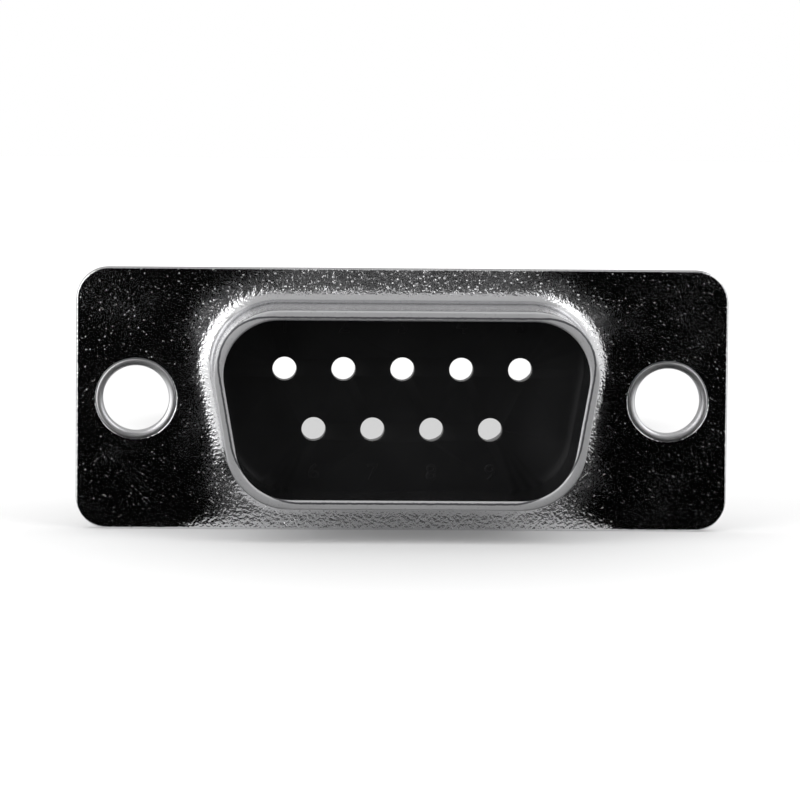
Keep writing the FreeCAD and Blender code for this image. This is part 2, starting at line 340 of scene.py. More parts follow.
class NodeSketch:
    """Adds nodes to one node tree, with each input either a value or another node's output."""

    def __init__(self, tree: bpy.types.NodeTree) -> None:
        """Work on the node tree of a material, a group or the world."""
        self.tree = tree

    def feed(self, node: bpy.types.Node, inputs: dict[Any, SocketValue]) -> None:
        """Give a node's inputs, by name or place, their values or links."""
        for name, value in inputs.items():
            if isinstance(value, Socket):
                self.tree.links.new(value, node.inputs[name])
            else:
                node.inputs[name].default_value = value

    def add(
        self, kind: str, inputs: dict[Any, SocketValue] | None = None, **settings: Any
    ) -> bpy.types.Node:
        """Add one node.

        Args:
            kind: The node's type name.
            inputs: Values or sockets by input name or place.
            settings: Attributes of the node itself.

        Returns:
            The new node.
        """
        node = self.tree.nodes.new(kind)
        for name, value in settings.items():
            setattr(node, name, value)
        self.feed(node, inputs or {})
        return node

    def math(self, operation: str, *values: SocketValue) -> Socket:
        """The result of a math node."""
        return self.add("ShaderNodeMath", dict(enumerate(values)), operation=operation).outputs[0]

    def mix(self, factor: SocketValue, first: SocketValue, second: SocketValue) -> Socket:
        """Mix two numbers by a factor."""
        inputs = {"Factor": factor, "A": first, "B": second}
        return self.add("ShaderNodeMix", inputs, data_type="FLOAT").outputs[0]

    def mix_colour(self, factor: SocketValue, first: SocketValue, second: SocketValue) -> Socket:
        """Mix two colours by a factor."""
        inputs = {0: factor, 6: first, 7: second}  # by place, as colours and numbers share names
        return self.add("ShaderNodeMix", inputs, data_type="RGBA").outputs[2]

    def ramp(
        self, value: Socket, low: SocketValue, high: float, bottom: float = 0.0, top: float = 1.0
    ) -> Socket:
        """A smooth step of a value from low to high.

        Args:
            value: What is mapped.
            low: Where the step starts.
            high: Where it ends. It may be under low, for a falling step.
            bottom: The result at low.
            top: The result at high.

        Returns:
            The mapped value.
        """
        if not isinstance(low, Socket) and low > high:
            low, high, bottom, top = high, low, top, bottom
        limits = {"From Min": low, "From Max": high, "To Min": bottom, "To Max": top}
        inputs = {"Value": value, **limits}
        return self.add("ShaderNodeMapRange", inputs, interpolation_type="SMOOTHSTEP").outputs[0]

    def noise(self, vector: Socket, scale: SocketValue, detail: float = 2.0) -> Socket:
        """The value of a noise pattern."""
        inputs = {"Vector": vector, "Scale": scale, "Detail": detail}
        return self.add("ShaderNodeTexNoise", inputs).outputs["Fac"]

    def place(self) -> Socket:
        """The Object coordinates."""
        return self.add("ShaderNodeTexCoord").outputs["Object"]

    def mapped(
        self, vector: Socket, scale: Point = (1.0, 1.0, 1.0), turn: Point = (0.0, 0.0, 0.0)
    ) -> Socket:
        """Coordinates stretched by a scale and turned."""
        inputs = {"Vector": vector, "Scale": scale, "Rotation": turn}
        return self.add("ShaderNodeMapping", inputs).outputs[0]

    def axes(self, vector: Socket) -> Sockets:
        """The x, y and z of a vector."""
        return self.add("ShaderNodeSeparateXYZ", {0: vector}).outputs

    def span(self, x: SocketValue, y: SocketValue) -> Socket:
        """The length of the hypotenuse over two legs."""
        return self.away(self.add("ShaderNodeCombineXYZ", {0: x, 1: y}).outputs[0])

    def away(self, vector: Socket, point: Point = (0.0, 0.0, 0.0)) -> Socket:
        """How far a vector is from a point."""
        node = self.add("ShaderNodeVectorMath", {0: vector, 1: point}, operation="DISTANCE")
        return node.outputs["Value"]

    def bump(self, height: Socket, depth: float, strength: float, **under: Socket) -> Socket:
        """The normal of a bumpy surface.

        Args:
            height: The pattern.
            depth: How deep it is in metres.
            strength: How much of it shows.
            under: The Normal of a pattern under this one, where there is one.

        Returns:
            The bent normal.
        """
        inputs = {"Strength": strength, "Distance": depth, "Height": height, **under}
        return self.add("ShaderNodeBump", inputs).outputs[0]


class ShaderGroups:
    """The shader node groups of the finishes, each built once."""

    def __init__(self) -> None:
        """Build nothing until it is asked for."""
        self.made: dict[str, bpy.types.NodeTree] = {}

    def group(
        self,
        name: str,
        inputs: dict[str, str],
        outputs: dict[str, str],
        build: Callable[[NodeSketch, Sockets], dict[str, Socket]],
    ) -> bpy.types.NodeTree:
        """Make a group, or give the one that is there.

        Args:
            name: The group's name.
            inputs: Socket type by input name.
            outputs: Socket type by output name.
            build: Adds the nodes, from the group's inputs, and returns each output's socket.

        Returns:
            The group's node tree.
        """
        if name in self.made:
            return self.made[name]
        tree = bpy.data.node_groups.new(name, "ShaderNodeTree")
        for way, sockets in (("INPUT", inputs), ("OUTPUT", outputs)):
            for label, kind in sockets.items():
                tree.interface.new_socket(label, in_out=way, socket_type=kind)
        entry = tree.nodes.new("NodeGroupInput")
        sketch = NodeSketch(tree)
        sketch.add("NodeGroupOutput", build(sketch, entry.outputs))
        self.made[name] = tree
        return tree

    def grain(self) -> bpy.types.NodeTree:
        """The orange-peel grain of plated sheet: fine bumps, raised dots and broad patches."""
        off_grid = (0.6, 0.4, 0.9)  # a turn that keeps the noise's own grid out of sight
        dots_per_bump, patches_per_bump = 1.1, 0.07
        dot_edge = (0.42, 0.05)  # share of a cell, from its middle
        dot_height, bump_height = 0.33, 0.75

        def build(sketch: NodeSketch, entry: Sockets) -> dict[str, Socket]:
            """Lay out the grain's nodes."""
            scale = entry["Scale"]
            place = sketch.mapped(entry["Vector"], turn=off_grid)
            fine = sketch.noise(place, scale, detail=1.0)
            crowd = {"Vector": place, "Scale": sketch.math("MULTIPLY", scale, dots_per_bump)}
            cells = sketch.add("ShaderNodeTexVoronoi", crowd, feature="F1").outputs
            chance = sketch.add("ShaderNodeSeparateColor", {"Color": cells["Color"]}).outputs[0]
            dot = sketch.math(
                "MULTIPLY",
                sketch.ramp(cells["Distance"], *dot_edge),
                sketch.ramp(chance, entry["Dot Threshold"], 1.0),
            )
            patches = sketch.noise(place, sketch.math("MULTIPLY", scale, patches_per_bump), 3.0)
            bumps = sketch.math("MULTIPLY", fine, bump_height)
            height = sketch.math("MULTIPLY_ADD", dot, dot_height, bumps)
            return {"Height": height, "Dots": dot, "Patches": patches}

        inputs = {"Vector": VECTOR, "Scale": FLOAT, "Dot Threshold": FLOAT}
        outputs = {"Height": FLOAT, "Dots": FLOAT, "Patches": FLOAT}
        return self.group("sheet grain", inputs, outputs, build)

    def fine_marks(self) -> bpy.types.NodeTree:
        """Hairline handling scratches in two directions."""
        turns, stretch, edge = (0.5, 2.1), (0.06, 1.0, 1.0), (0.66, 0.74)

        def build(sketch: NodeSketch, entry: Sockets) -> dict[str, Socket]:
            """Lay out the scratches' nodes."""
            marks = []
            for turn in turns:
                turned = sketch.mapped(entry["Vector"], stretch, (0.0, turn, 0.0))
                lines = sketch.noise(turned, entry["Scale"], detail=1.0)
                marks.append(sketch.ramp(lines, *edge))
            return {"Marks": sketch.math("MAXIMUM", *marks)}

        inputs = {"Vector": VECTOR, "Scale": FLOAT}
        return self.group("hairline marks", inputs, {"Marks": FLOAT}, build)

    def from_tube(self) -> bpy.types.NodeTree:
        """The distance in millimetres from the inner wall of the D tube, outwards."""
        outline = DOutline()
        upper = outline.corners()[0]
        lean = math.radians(outline.side_angle)

        def build(sketch: NodeSketch, entry: Sockets) -> dict[str, Socket]:
            """Lay out the distance's nodes."""
            axes = sketch.axes(entry["Vector"])
            x = sketch.math("MULTIPLY", sketch.math("ABSOLUTE", axes[0]), MM_PER_METRE)
            z = sketch.math("MULTIPLY", axes[2], MM_PER_METRE)
            along = sketch.math("MULTIPLY", sketch.math("SUBTRACT", x, upper.x), math.cos(lean))
            across = sketch.math("MULTIPLY", sketch.math("SUBTRACT", z, upper.z), math.sin(lean))
            side = sketch.math("MAXIMUM", sketch.math("SUBTRACT", along, across), 0.0)
            above = sketch.math("SUBTRACT", sketch.math("ABSOLUTE", z), upper.z)
            rise = sketch.math("MAXIMUM", above, 0.0)
            distance = sketch.math("SUBTRACT", sketch.span(side, rise), outline.radius)
            return {"Distance": distance}

        return self.group("distance from tube", {"Vector": VECTOR}, {"Distance": FLOAT}, build)


GROUPS = ShaderGroups()


def new_material(name: str) -> tuple[bpy.types.Material, NodeSketch, bpy.types.Node]:
    """An empty node material.

    Args:
        name: The material's name.

    Returns:
        The material, a sketch of its tree and its Principled shader.
    """
    material = bpy.data.materials.new(name)
    material.use_nodes = True
    sketch = NodeSketch(material.node_tree)
    return material, sketch, material.node_tree.nodes["Principled BSDF"]


def grain_at(sketch: NodeSketch, place: Socket, scale: float, threshold: float) -> Sockets:
    """Place the sheet grain in a material.

    Args:
        sketch: The material's sketch.
        place: The Object coordinates.
        scale: Bumps in a metre.
        threshold: The share of cells that have no dot.

    Returns:
        The grain's Height, Dots and Patches.
    """
    inputs = {"Vector": place, "Scale": scale, "Dot Threshold": threshold}
    return sketch.add("ShaderNodeGroup", inputs, node_tree=GROUPS.grain()).outputs


@dataclass(frozen=True)
class PlatedSheet:
    """Bright tin-plated steel sheet, mirror-like on the ears and coarser where it was drawn."""

    name: str = "bright tin plate"
    colour: Colour = (0.66, 0.66, 0.67, 1.0)
    worn_colour: Colour = (0.54, 0.54, 0.55, 1.0)
    ear_roughness: float = 0.125
    smudge_roughness: float = 0.16
    smudge_edge: Span = (0.45, 0.72)
    drawn_roughness: float = 0.26
    wall_roughness: float = 0.16
    sheared_roughness: float = 0.64
    mottle: float = 0.06
    grain_scale: float = 7000.0
    grain_height: float = 2.4e-5
    drawn_grain: float = 1.9  # how much deeper the grain is where the sheet was drawn
    wall_grain: float = 0.06
    dot_threshold: float = 0.35
    mark_scale: float = 4200.0
    mark_wear: float = 0.15
    line_scale: float = 2600.0
    line_stretch: Point = (0.03, 1.0, 0.03)
    line_height: float = 5.0e-6
    line_strength: float = 0.6
    tube_start: Span = (-0.00005, -0.0004)  # m, where the flange's finish becomes the wall's
    slope: Span = (0.0015, 0.0045)  # m from the middle, where the side fade becomes another
    side_fade: Span = (0.6, 1.5)  # mm from the tube's inner wall, where the drawn zone fades
    upper_fade: Span = (0.7, 2.2)
    lower_fade: Span = (1.4, 3.4)
    fade_unevenness: float = 0.5
    strip_start: Span = (0.0039, 0.0046)  # m above and below the middle
    strip_fade: Span = (0.006, 0.0105)  # m from the middle, where the strips' grain fades
    strip_unevenness: float = 0.003
    rim_depth: float = -5.86  # mm, in front of which the sheet is sheared
    rim_blend: float = 0.02  # mm over which the rim's masks fade
    shear_line: Span = (0.055, 0.125)  # mm from the inner wall, between the burr and the rim, where the painted shade line lies
    # the colour of the painted shade line
    shear_colour: Colour = (0.16, 0.16, 0.17, 1.0)
    ragged_scale: float = 5000.0
    raggedness: float = 0.05  # mm

    def drawn_zone(
        self, sketch: NodeSketch, place: Socket, distance: Socket, patches: Socket
    ) -> Socket:
        """A mask of the sheet that was stretched when the tube was drawn.

        Args:
            sketch: The material's sketch.
            place: The Object coordinates.
            distance: The distance from the tube's inner wall in millimetres.
            patches: A broad noise that makes the zone's edge uneven.

        Returns:
            One beside the tube, falling to nought on the ears.
        """
        axes = sketch.axes(place)
        start, end = self.slope
        above = sketch.ramp(axes[2], start, end)
        below = sketch.ramp(axes[2], -start, -end)
        fade = []
        for beside, upper, lower in zip(self.side_fade, self.upper_fade, self.lower_fade):
            raised = sketch.math("MULTIPLY_ADD", above, upper - beside, beside)
            fade.append(sketch.math("MULTIPLY_ADD", below, lower - beside, raised))
        half = self.fade_unevenness / 2
        uneven = sketch.math("MULTIPLY_ADD", patches, -self.fade_unevenness, half)
        around = sketch.ramp(sketch.math("ADD", distance, uneven), fade[1], fade[0])
        aside = sketch.math("ABSOLUTE", axes[0])
        aside = sketch.math("MULTIPLY_ADD", patches, self.strip_unevenness, aside)
        strip = sketch.math(
            "MULTIPLY",
            sketch.ramp(sketch.math("ABSOLUTE", axes[2]), *self.strip_start),
            sketch.ramp(aside, *reversed(self.strip_fade)),
        )
        return sketch.math("MAXIMUM", around, strip)

    def shear(self, sketch: NodeSketch, place: Socket, distance: Socket) -> Socket:
        """A mask of the painted shade line, a dark line between the rim's burr and its sheared
        face.

        Args:
            sketch: The material's sketch.
            place: The Object coordinates.
            distance: The distance from the tube's inner wall in millimetres.

        Returns:
            One along the line and nought beside it.
        """
        first, last = self.shear_line
        blend, noise = self.rim_blend, sketch.noise(place, self.ragged_scale)
        shifted = sketch.math("SUBTRACT", distance, self.raggedness / 2)
        ragged = sketch.math("MULTIPLY_ADD", noise, self.raggedness, shifted)
        inner = sketch.ramp(ragged, first - blend, first)
        return sketch.math("MULTIPLY", inner, sketch.ramp(ragged, last + blend, last))

    def build(self) -> bpy.types.Material:
        """Make the material."""
        material, sketch, shader = new_material(self.name)
        place = sketch.place()
        grain = grain_at(sketch, place, self.grain_scale, self.dot_threshold)
        patches = grain["Patches"]
        marks = {"Vector": place, "Scale": self.mark_scale}
        marks = sketch.add("ShaderNodeGroup", marks, node_tree=GROUPS.fine_marks()).outputs[0]
        tube = sketch.add("ShaderNodeGroup", {"Vector": place}, node_tree=GROUPS.from_tube())
        distance = tube.outputs["Distance"]
        drawn = self.drawn_zone(sketch, place, distance, patches)
        depth = sketch.axes(place)[1]
        rim_start = (self.rim_depth + self.rim_blend) * METRES_PER_MM
        rim = sketch.ramp(depth, rim_start, self.rim_depth * METRES_PER_MM)
        on_tube = sketch.ramp(depth, *self.tube_start)
        rough = sketch.ramp(patches, *self.smudge_edge, self.ear_roughness, self.smudge_roughness)
        for mask, value in (
            (drawn, self.drawn_roughness),
            (on_tube, self.wall_roughness),
            (rim, self.sheared_roughness),
        ):
            rough = sketch.mix(mask, rough, value)
        rough = sketch.math("SUBTRACT", rough, self.mottle / 2)
        rough = sketch.math("MULTIPLY_ADD", patches, self.mottle, rough)
        lines = sketch.noise(sketch.mapped(place, self.line_stretch), self.line_scale)
        share = sketch.mix(on_tube, sketch.mix(drawn, 1.0, self.drawn_grain), self.wall_grain)
        height = sketch.math("MULTIPLY", grain["Height"], share)
        grained = sketch.bump(height, self.grain_height, 1.0)
        height = sketch.math("MULTIPLY", lines, on_tube)
        normal = sketch.bump(height, self.line_height, self.line_strength, Normal=grained)
        worn = sketch.math("MULTIPLY", marks, self.mark_wear)
        worn = sketch.math("MAXIMUM", worn, grain["Dots"])
        colour = sketch.mix_colour(worn, self.colour, self.worn_colour)
        # the painted shade line darkens the sheet's colour on the rim
        line = sketch.math("MULTIPLY", self.shear(sketch, place, distance), rim)
        colour = sketch.mix_colour(line, colour, self.shear_colour)
        surface = {"Base Color": colour, "Metallic": 1.0, "Roughness": rough, "Normal": normal}
        sketch.feed(shader, surface)
        return material


@dataclass(frozen=True)
class RivetPlate:
    """Bright plated brass of the tubular rivets, with a faint grain and worn dots."""

    name: str = "bright rivet plate"
    colour: Colour = (0.7, 0.7, 0.71, 1.0)
    worn_colour: Colour = (0.58, 0.57, 0.56, 1.0)
    grain_scale: float = 12000.0
    grain_height: float = 1.5e-6
    grain_strength: float = 0.6
    dot_threshold: float = 0.85
    roughness: float = 0.34
    mottle: float = 0.12

    def build(self) -> bpy.types.Material:
        """Make the material."""
        material, sketch, shader = new_material(self.name)
        grain = grain_at(sketch, sketch.place(), self.grain_scale, self.dot_threshold)
        rough = sketch.math("MULTIPLY_ADD", grain["Patches"], self.mottle, self.roughness)
        normal = sketch.bump(grain["Height"], self.grain_height, self.grain_strength)
        colour = sketch.mix_colour(grain["Dots"], self.colour, self.worn_colour)
        surface = {"Base Color": colour, "Metallic": 1.0, "Roughness": rough, "Normal": normal}
        sketch.feed(shader, surface)
        return material


@dataclass(frozen=True)
class MouldedPlastic:
    """Black glass-filled plastic, smooth from the mould with a slight mottle."""

    name: str = "black moulded plastic"
    colour: Colour = (0.004, 0.004, 0.0045, 1.0)
    mottle_colour: Colour = (0.006, 0.006, 0.0068, 1.0)
    shine: float = 0.33
    roughness: float = 0.33
    mottle: float = 0.14
    grain_scale: float = 7000.0
    grain_height: float = 1.2e-6
    grain_strength: float = 0.5
    dot_threshold: float = 0.93
    bore_roughness: float = 0.03  # the pins that form the contact holes are polished
    pitch: float = 0.00277
    half_row: float = 0.00142
    bore_reach: float = 0.00092
    bore_front: Span = (0.00021, 0.00024)  # m behind the flange's front, where the cavities start
    bore_back: Span = (0.00499, 0.00495)

    def bores(self, sketch: NodeSketch, place: Socket) -> Socket:
        """A mask of the walls of the nine contact cavities.

        Args:
            sketch: The material's sketch.
            place: The Object coordinates.

        Returns:
            One inside the cavities and nought elsewhere.
        """
        axes = sketch.axes(place)
        lower = sketch.math("LESS_THAN", axes[2], 0.0)
        along = sketch.math("MULTIPLY_ADD", lower, self.pitch / 2, axes[0])
        along = sketch.math("WRAP", along, self.pitch / 2, -self.pitch / 2)
        across = sketch.math("SUBTRACT", sketch.math("ABSOLUTE", axes[2]), self.half_row)
        near = sketch.math("LESS_THAN", sketch.span(along, across), self.bore_reach)
        front, back = (sketch.ramp(axes[1], *ends) for ends in (self.bore_front, self.bore_back))
        return sketch.math("MULTIPLY", near, sketch.math("MULTIPLY", front, back))

    def build(self) -> bpy.types.Material:
        """Make the material."""
        material, sketch, shader = new_material(self.name)
        place = sketch.place()
        grain = grain_at(sketch, place, self.grain_scale, self.dot_threshold)
        rough = sketch.math("MULTIPLY_ADD", grain["Patches"], self.mottle, self.roughness)
        rough = sketch.mix(self.bores(sketch, place), rough, self.bore_roughness)
        normal = sketch.bump(grain["Height"], self.grain_height, self.grain_strength)
        colour = sketch.mix_colour(grain["Patches"], self.colour, self.mottle_colour)
        surface = {"Base Color": colour, "Metallic": 0.0, "Roughness": rough, "Normal": normal}
        sketch.feed(shader, {**surface, "Specular IOR Level": self.shine})
        return material


@dataclass(frozen=True)
class SpringAlloy:
    """Bare copper alloy strip of the contact clips, with rolling lines."""

    name: str = "copper alloy strip"
    colour: Colour = (0.72, 0.5, 0.28, 1.0)
    tarnish: Colour = (0.5, 0.31, 0.15, 1.0)
    tarnish_edge: Span = (0.4, 0.7)
    grain_scale: float = 9000.0
    dot_threshold: float = 0.9
    line_scale: float = 16000.0
    line_stretch: Point = (1.0, 0.05, 1.0)
    line_height: float = 1.5e-6
    line_strength: float = 0.5
    roughness: float = 0.2
    mottle: float = 0.15

    def build(self) -> bpy.types.Material:
        """Make the material."""
        material, sketch, shader = new_material(self.name)
        place = sketch.place()
        grain = grain_at(sketch, place, self.grain_scale, self.dot_threshold)
        lines = sketch.noise(sketch.mapped(place, self.line_stretch), self.line_scale)
        rough = sketch.math("MULTIPLY_ADD", lines, self.mottle, self.roughness)
        normal = sketch.bump(lines, self.line_height, self.line_strength)
        tarnished = sketch.ramp(grain["Patches"], *self.tarnish_edge)
        colour = sketch.mix_colour(tarnished, self.colour, self.tarnish)
        surface = {"Base Color": colour, "Metallic": 1.0, "Roughness": rough, "Normal": normal}
        sketch.feed(shader, surface)
        return material


def dress(piece: bpy.types.Object, material: bpy.types.Material) -> None:
    """Put one material on a piece in place of any it has."""
    piece.data.materials.clear()
    piece.data.materials.append(material)


def settle(
    piece: bpy.types.Object, node: str, material: bpy.types.Material
) -> None:
    """Let a piece stand for a CAD node.

    Args:
        piece: The finished piece.
        node: The CAD node that it replaces.
        material: Its finish.
    """
    dress(piece, material)
    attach(piece, BODY)
    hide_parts(node)
    LOG.info("%s stands for %s", piece.name, node)


@dataclass
class Shells:
    """The two drawn sheets: the front one with the D tube and the rear one with the cup."""

    tube: DOutline = field(default_factory=DOutline)
    border: RoundedRectangle = field(default_factory=RoundedRectangle)
    sheet: float = 0.4
    projection: float = 5.9
    wall_waves: tuple[SectionPoint, ...] = tuple(
        zip((0.0, 0.004, -0.003, 0.004, -0.002, 0.002), (-1.4, -2.2, -3.0, -3.9, -4.7, -5.3))
    )  # how far the outer wall stands out, and at which depth
    root_radius: float = 0.8
    root_reach: float = 0.85  # how far the bend fades into the flange outside
    rim_round: float = 0.08
    burr_round: float = 0.13
    burr_reach: float = 0.08  # how far the sheared rim has rolled inwards
    burr_easing: tuple[SectionPoint, ...] = ((0.85, 0.15), (0.4, 0.4), (0.1, 0.7))  # share, depth
    border_round: float = 0.08
    holding: float = 0.03  # the width of the flat rim that keeps a plate's shading flat
    cup_margin: float = 1.18
    cup_back: float = 4.2
    cup_root_radius: float = 0.3
    cup_corner_radius: float = 0.1
    cup_lip: float = 0.8
    hole_x: float = 12.495
    hole_radius: float = 1.77
    seat_radius: float = 1.88
    seat_depth: float = 0.25
    seat_round: float = 0.05
    corner_steps: int = 18
    border_steps: int = 10
    bend_steps: int = 14
    hole_segments: int = 72

    def border_section(self, plane: float, other: float) -> list[SectionPoint]:
        """The flange's edge, rounded over at one plane and square at the other."""
        way = 1.0 if other > plane else -1.0
        centre = (-self.border_round, plane + way * self.border_round)
        rounded = section_arc(centre, self.border_round, -90 * way, 0, 4)
        return [(-self.border_round - self.holding, plane), *rounded, (0.0, other)]

    def front_tube_section(self) -> list[SectionPoint]:
        """The tube's section from the flange's front, over the rim, to the flange's back."""
        root, sheet, soft = self.root_radius, self.sheet, self.rim_round
        rim = -self.projection
        outside = []
        for step in range(self.bend_steps + 1):
            turn = math.radians(step * 90 / self.bend_steps)
            out = sheet + self.root_reach * (1 - math.sin(turn))
            outside.append((out, -root * (1 - math.cos(turn))))
        wall = [(sheet + wave, y) for wave, y in self.wall_waves]
        outer_rim = section_arc((sheet - soft, rim + soft), soft, 0, -90, 4)
        burr, reach = self.burr_round, self.burr_reach
        inner_rim = section_arc((burr - reach, rim + burr), burr, -90, -180, 6)
        easing = [(-reach * share, rim + burr + depth) for share, depth in self.burr_easing]
        inside = section_arc((sheet + root, -root), root + sheet, 180, 90, 12)
        start = (sheet + self.root_reach + self.holding, 0.0)
        end = (sheet + root + self.holding, sheet)
        return [start, *outside, *wall, *outer_rim, *inner_rim, *easing, *inside, end]

    def cup_section(self) -> list[SectionPoint]:
        """The cup's section from the flange's back, round the lip, to the flange's front."""
        outer, sheet, back = self.cup_margin, self.sheet, self.cup_back
        joint, flange_back = sheet, 2 * sheet
        root, corner = self.cup_root_radius, self.cup_corner_radius + sheet
        lip = outer - sheet - self.cup_lip
        centre = (outer + root, flange_back + root)
        outside = section_arc(centre, root, -90, -180, 5)
        bend = section_arc((outer - corner, back - corner), corner, 0, 90, 7)
        edge = [(lip, back), (lip, back - sheet)]
        inner_bend = section_arc((outer - corner, back - corner), self.cup_corner_radius, 90, 0, 3)
        inside = section_arc(centre, root + sheet, 180, 270, 10)
        hold = outer + root + self.holding
        return [(hold, flange_back), *outside, *bend, *edge, *inner_bend, *inside, (hold, joint)]

    def flanged(
        self,
        name: str,
        drawn: Sequence[SectionPoint],
        planes: Span,
        hole: Sequence[SectionPoint],
    ) -> bpy.types.Object:
        """Build a sheet from its drawn middle, its border and its two holes.

        Args:
            name: The piece's name.
            drawn: The section of the tube or cup.
            planes: Where the flange starts and ends, with the drawn section's own ends.
            hole: The section of a hole.

        Returns:
            The finished piece.
        """
        work = PieceMesh()
        border = self.border_section(*planes)
        walls = [
            work.swept(self.tube.corners(), self.tube.radius, drawn, self.corner_steps),
            work.swept(self.border.corners(), self.border.radius, border, self.border_steps),
        ]
        for side in Side:
            walls.append(work.bored((side.value * self.hole_x, 0.0), hole, self.hole_segments))
        work.capped(walls)
        return work.finished(name)

    def front(self) -> bpy.types.Object:
        """Build the front shell, whose holes have tapered seats for the rivets' lips."""
        slope = (self.seat_radius - self.hole_radius) / self.seat_depth
        seat, soft = self.seat_radius, self.seat_round
        hole = [
            (seat + soft + self.holding, 0.0),
            (seat + soft, 0.0),
            (seat + soft * 0.4, soft * 0.35),
            (seat - slope * soft, soft),
            (self.hole_radius, self.seat_depth),
            (self.hole_radius, self.sheet),
        ]
        planes = (0.0, self.sheet)
        return self.flanged("front_shell_sheet", self.front_tube_section(), planes, hole)

    def rear(self) -> bpy.types.Object:
        """Build the rear shell."""
        planes = (2 * self.sheet, self.sheet)
        hole = [(self.hole_radius, plane) for plane in planes]
        return self.flanged("rear_shell_sheet", self.cup_section(), planes, hole)

    def make(self) -> None:
        """Build, dress and settle both shells."""
        finish = PlatedSheet().build()
        settle(self.front(), "front_shell", finish)
        settle(self.rear(), "rear_shell", finish)


@dataclass
class Rivets:
    """The two tubular rivets through the mounting holes."""

    x: float = 12.495
    bore: float = 1.55
    wall: float = 0.2
    lip_radius: float = 1.86
    lip_rise: float = 0.08
    lip_fullness: float = 0.7  # under one for a crown that is fuller than half a wave
    lip_steps: int = 10
    bore_start: float = 0.1
    seat_depth: float = 0.25
    flange_back: float = 0.8
    head_radius: float = 2.2
    head_round: float = 0.06
    segments: int = 96

    def section(self) -> list[SectionPoint]:
        """The closed section as (radius, depth) points, from the bore over the rolled lip."""
        barrel = self.bore + self.wall
        crown = (self.bore + self.lip_radius) / 2
        half = (self.lip_radius - self.bore) / 2
        back, head_back = self.flange_back, self.flange_back + self.wall
        lip = []
        for step in range(self.lip_steps + 1):
            angle = math.pi * step / self.lip_steps
            rise = self.lip_rise * math.sin(angle) ** self.lip_fullness
            start = self.bore_start * (1 - step / self.lip_steps)
            lip.append((crown - half * math.cos(angle), start - rise))
        outside = [(barrel, self.seat_depth), (barrel, back), (self.head_radius, back)]
        soft = self.head_round
        head = section_arc((self.head_radius - soft, head_back - soft), soft, 0, 90, 3)
        entry = section_arc((barrel, back), self.wall, 90, 180, 6)
        return lip + outside + head + entry

    def one(self, side: Side) -> bpy.types.Object:
        """Spin one rivet about its hole's axis.

        Args:
            side: The ear that it is in.

        Returns:
            The finished piece.
        """
        work = PieceMesh()
        centre = side.value * self.x
        points = [work.bm.verts.new((centre + radius, y, 0)) for radius, y in self.section()]
        edges = []
        for first, second in zip(points, points[1:] + points[:1]):
            edges += bmesh.ops.contextual_create(work.bm, geom=[first, second])["edges"]
        bmesh.ops.spin(
            work.bm,
            geom=points + edges,
            cent=(centre, 0, 0),
            axis=(0, 1, 0),
            angle=FULL_TURN,
            steps=self.segments,
            use_merge=True,
        )
        return work.finished(f"{side.name.lower()}_rivet")

    def make(self) -> None:
        """Build, dress and settle both rivets."""
        finish = RivetPlate().build()
        for side in Side:
            settle(self.one(side), f"{side.name.lower()}_eyelet", finish)


